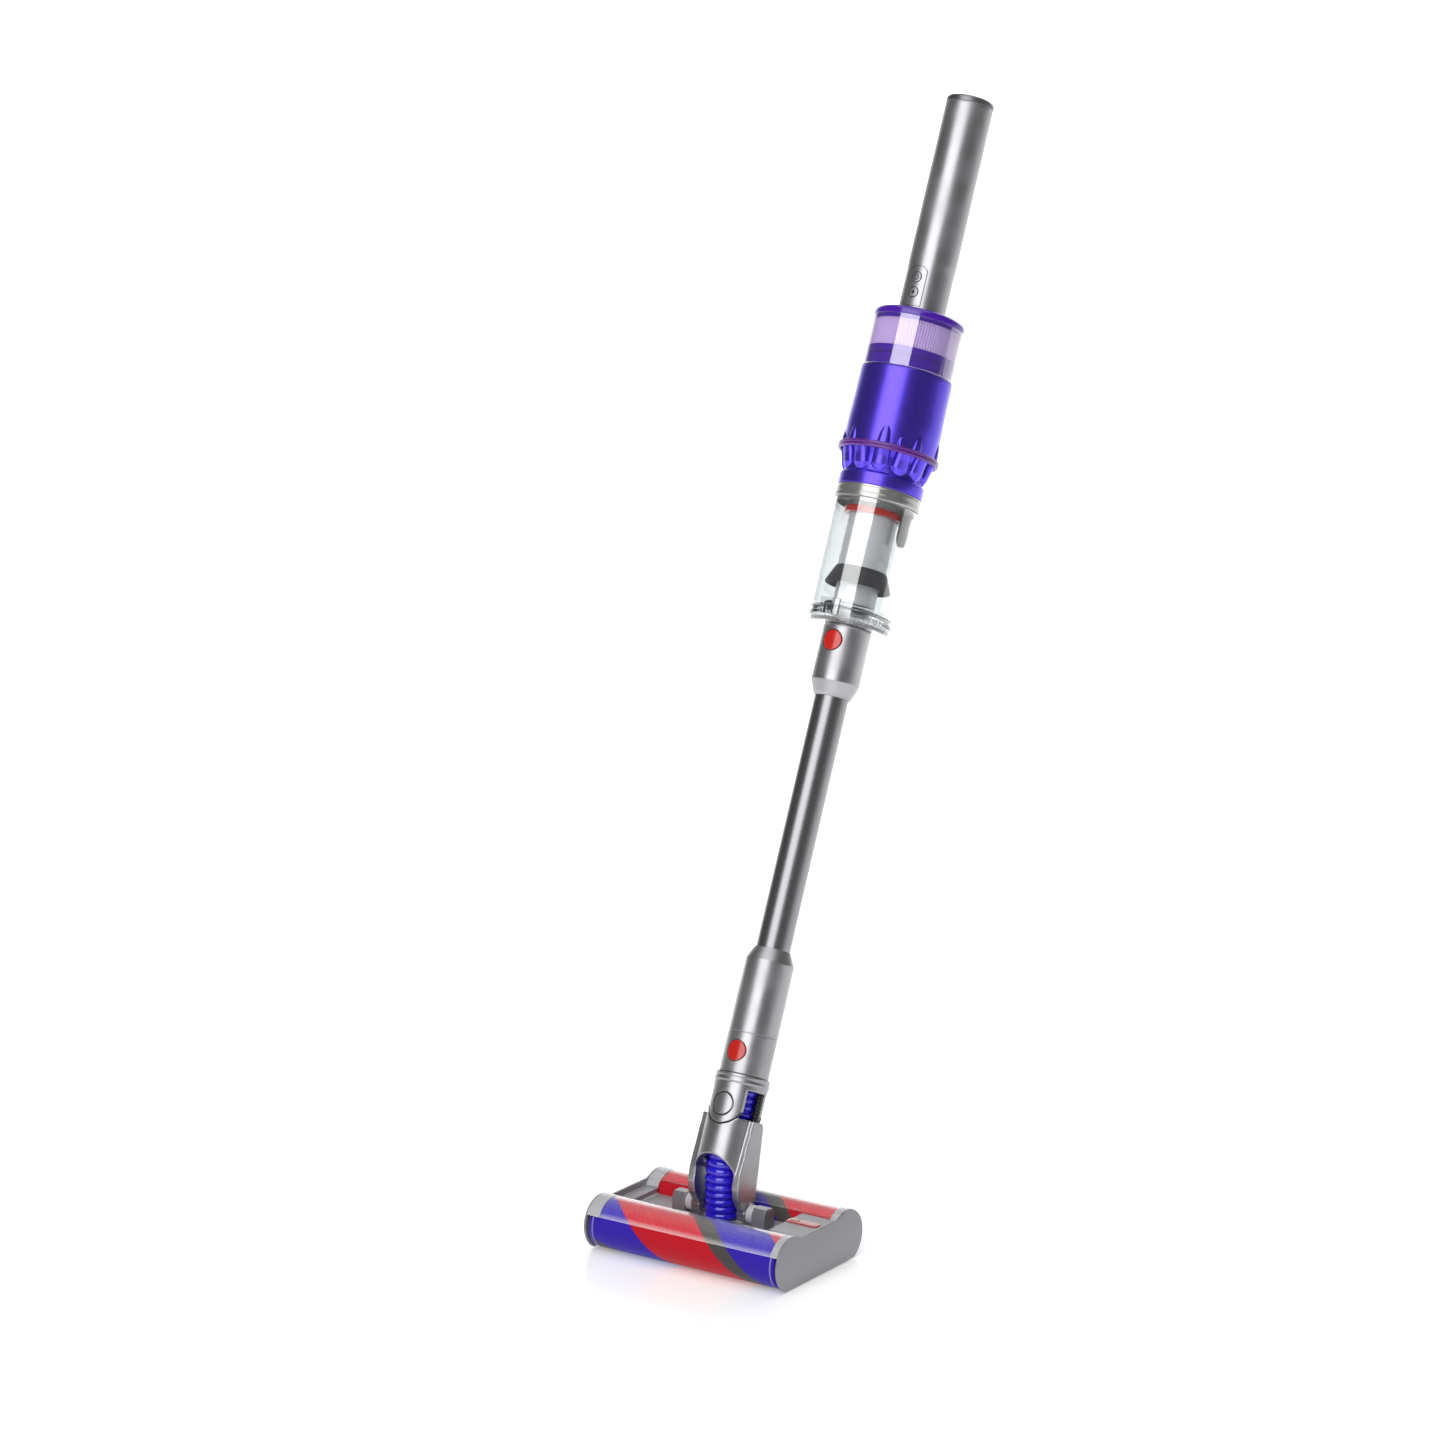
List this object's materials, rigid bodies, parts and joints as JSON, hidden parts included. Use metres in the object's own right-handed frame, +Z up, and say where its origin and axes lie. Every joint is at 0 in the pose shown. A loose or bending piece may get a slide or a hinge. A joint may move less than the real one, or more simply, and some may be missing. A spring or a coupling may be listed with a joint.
{
  "type": "cordless stick vacuum",
  "caption": "Upright battery stick vacuum with a straight handle, inline clear dust bin, wand and a low soft-roller floor head on castors.",
  "frame": {"origin": "centre of the whole machine's outline, on the floor plane", "axes": "+Z up, +X across the floor head to the right seen from the front, -Y forward; the stick leans back towards +Y"},
  "size_m": [0.208, 0.4877, 1.0034],
  "materials": {
    "satin_nickel": "satin metallic finish on moulded plastic",
    "wand_aluminium": "satin anodised",
    "grey_housing": "satin mid grey",
    "dark_housing": "satin dark grey",
    "light_bush": "natural acetal",
    "clear_plastic": "clear moulded polycarbonate",
    "frosted_plastic": "frosted clear polycarbonate",
    "roller_plush": "soft woven nylon pile with helical stripes",
    "roller_core": "moulded",
    "red_plastic": "glossy red",
    "hose_blue": "glossy corrugated",
    "black_rubber": "matt black",
    "steel": "ground steel",
    "purple_metallic": "metallic blue-purple lacquer",
    "magenta_trim": "dark translucent magenta",
    "filter_purple": "deep purple",
    "clear_purple": "clear violet tint",
    "filter_media": "pleated filter medium",
    "shroud_silver": "silver white",
    "collar_silver": "translucent silver grey",
    "motor_parts": "machined",
    "cell_wrap": "wrapped lithium cell, mean density of a cell"
  },
  "bodies": {
    "head": {"head_frame": "grey_housing", "sole_plate": "dark_housing", "left_end_plate": "grey_housing", "right_end_plate": "grey_housing", "front_cover": "clear_plastic", "rear_cover": "clear_plastic", "cover_end_bands": "frosted_plastic", "drive_motors": "motor_parts", "trunnion_blocks": "dark_housing", "trunnion_bushes": "light_bush", "head_screws": "steel"},
    "end_cap_latch": {"end_cap_latch": "red_plastic"},
    "front_roller": {"front_roller_core": "roller_core", "front_roller_plush": "roller_plush"},
    "rear_roller": {"rear_roller_core": "roller_core", "rear_roller_plush": "roller_plush"},
    "yoke": {"yoke": "satin_nickel", "yoke_pins": "steel", "hose_lower": "hose_blue"},
    "neck": {"neck": "satin_nickel", "knuckle_caps": "satin_nickel", "hose_upper": "hose_blue", "power_conduit": "black_rubber"},
    "wand": {"lower_connector": "satin_nickel", "wand_tube": "wand_aluminium", "upper_connector": "satin_nickel"},
    "lower_release": {"lower_release_button": "red_plastic"},
    "upper_release": {"upper_release_button": "red_plastic"},
    "main_unit": {"bin_base": "clear_plastic", "bin_base_catch": "dark_housing", "bin_cup": "clear_plastic", "inlet_duct": "shroud_silver", "shroud": "shroud_silver", "shroud_skirt": "dark_housing", "shroud_seal": "red_plastic", "bin_collar": "collar_silver", "cyclone_body": "purple_metallic", "cyclone_flange": "magenta_trim", "motor_body": "purple_metallic", "motor_stator": "motor_parts", "battery_dock": "dark_housing"},
    "motor_rotor": {"motor_impeller": "motor_parts"},
    "filter": {"filter_lower_ring": "filter_purple", "filter_media": "filter_media", "filter_shell": "clear_purple", "filter_cap": "filter_purple"},
    "handle": {"handle_shell": "satin_nickel", "handle_end_cap": "dark_housing", "battery_cells": "cell_wrap", "control_panel": "satin_nickel"},
    "power_key": {"power_button": "satin_nickel"},
    "boost_key": {"boost_button": "satin_nickel"},
    "castor_front_left": {"castor_fork_front_left": "dark_housing"},
    "castor_wheel_front_left": {"castor_wheel_front_left": "black_rubber"},
    "castor_front_right": {"castor_fork_front_right": "dark_housing"},
    "castor_wheel_front_right": {"castor_wheel_front_right": "black_rubber"},
    "castor_rear_left": {"castor_fork_rear_left": "dark_housing"},
    "castor_wheel_rear_left": {"castor_wheel_rear_left": "black_rubber"},
    "castor_rear_right": {"castor_fork_rear_right": "dark_housing"},
    "castor_wheel_rear_right": {"castor_wheel_rear_right": "black_rubber"}
  },
  "joints": [
    {"name": "head_pitch", "type": "hinge", "parent": "head", "child": "yoke", "pos_m": [0, -0.17504, 0.0425], "axis": [-1, 0, 0], "range_deg": [-24, 44], "deforming": ["hose_lower"]},
    {"name": "neck_swing", "type": "hinge", "parent": "yoke", "child": "neck", "pos_m": [0, -0.15424, 0.13088], "axis": [0, -0.916, 0.4011], "range_deg": [-35, 35], "deforming": ["hose_upper", "power_conduit"]},
    {"name": "wand_detach", "type": "slide", "parent": "neck", "child": "wand", "axis": [0, 0.4011, 0.916], "range_m": [0, 0.03]},
    {"name": "unit_detach", "type": "slide", "parent": "wand", "child": "main_unit", "axis": [0, 0.4011, 0.916], "range_m": [0, 0.03]},
    {"name": "filter_lift", "type": "slide", "parent": "main_unit", "child": "filter", "axis": [0, 0.4011, 0.916], "range_m": [0, 0.05]},
    {"name": "battery_lift", "type": "slide", "parent": "main_unit", "child": "handle", "axis": [0, 0.4011, 0.916], "range_m": [0, 0.028]},
    {"name": "power_press", "type": "slide", "parent": "handle", "child": "power_key", "axis": [0, 0.916, -0.4011], "range_m": [0, 0.0008], "stiffness_N_per_m": 400, "springref_m": -0.0006},
    {"name": "boost_press", "type": "slide", "parent": "handle", "child": "boost_key", "axis": [0, 0.916, -0.4011], "range_m": [0, 0.0008], "stiffness_N_per_m": 400, "springref_m": -0.0006},
    {"name": "lower_release_press", "type": "slide", "parent": "wand", "child": "lower_release", "axis": [0, 0.916, -0.4011], "range_m": [0, 0.0012], "stiffness_N_per_m": 800, "springref_m": -0.0006},
    {"name": "upper_release_press", "type": "slide", "parent": "wand", "child": "upper_release", "axis": [0, 0.916, -0.4011], "range_m": [0, 0.0012], "stiffness_N_per_m": 800, "springref_m": -0.0006},
    {"name": "front_roller_spin", "type": "hinge", "parent": "head", "child": "front_roller", "pos_m": [0, -0.21924, 0.0233], "axis": [1, 0, 0], "continuous": true},
    {"name": "rear_roller_spin", "type": "hinge", "parent": "head", "child": "rear_roller", "pos_m": [0, -0.13084, 0.0233], "axis": [1, 0, 0], "continuous": true},
    {"name": "latch_slide", "type": "slide", "parent": "head", "child": "end_cap_latch", "axis": [-1, 0, 0], "range_m": [0, 0.003]},
    {"name": "fan_spin", "type": "hinge", "parent": "main_unit", "child": "motor_rotor", "pos_m": [0, 0.10479, 0.72235], "axis": [0, 0.4011, 0.916], "continuous": true},
    {"name": "castor_swivel_front_left", "type": "hinge", "parent": "head", "child": "castor_front_left", "pos_m": [-0.08, -0.18704, 0.012], "axis": [0, 0, 1], "continuous": true},
    {"name": "castor_roll_front_left", "type": "hinge", "parent": "castor_front_left", "child": "castor_wheel_front_left", "pos_m": [-0.08, -0.18404, 0.0048], "axis": [1, 0, 0], "continuous": true},
    {"name": "castor_swivel_front_right", "type": "hinge", "parent": "head", "child": "castor_front_right", "pos_m": [0.08, -0.18704, 0.012], "axis": [0, 0, 1], "continuous": true},
    {"name": "castor_roll_front_right", "type": "hinge", "parent": "castor_front_right", "child": "castor_wheel_front_right", "pos_m": [0.08, -0.18404, 0.0048], "axis": [1, 0, 0], "continuous": true},
    {"name": "castor_swivel_rear_left", "type": "hinge", "parent": "head", "child": "castor_rear_left", "pos_m": [-0.08, -0.16304, 0.012], "axis": [0, 0, 1], "continuous": true},
    {"name": "castor_roll_rear_left", "type": "hinge", "parent": "castor_rear_left", "child": "castor_wheel_rear_left", "pos_m": [-0.08, -0.16004, 0.0048], "axis": [1, 0, 0], "continuous": true},
    {"name": "castor_swivel_rear_right", "type": "hinge", "parent": "head", "child": "castor_rear_right", "pos_m": [0.08, -0.16304, 0.012], "axis": [0, 0, 1], "continuous": true},
    {"name": "castor_roll_rear_right", "type": "hinge", "parent": "castor_rear_right", "child": "castor_wheel_rear_right", "pos_m": [0.08, -0.16004, 0.0048], "axis": [1, 0, 0], "continuous": true}
  ],
  "couplings": [
    {"joint": "rear_roller_spin", "follows": "front_roller_spin", "ratio": -1}
  ]
}
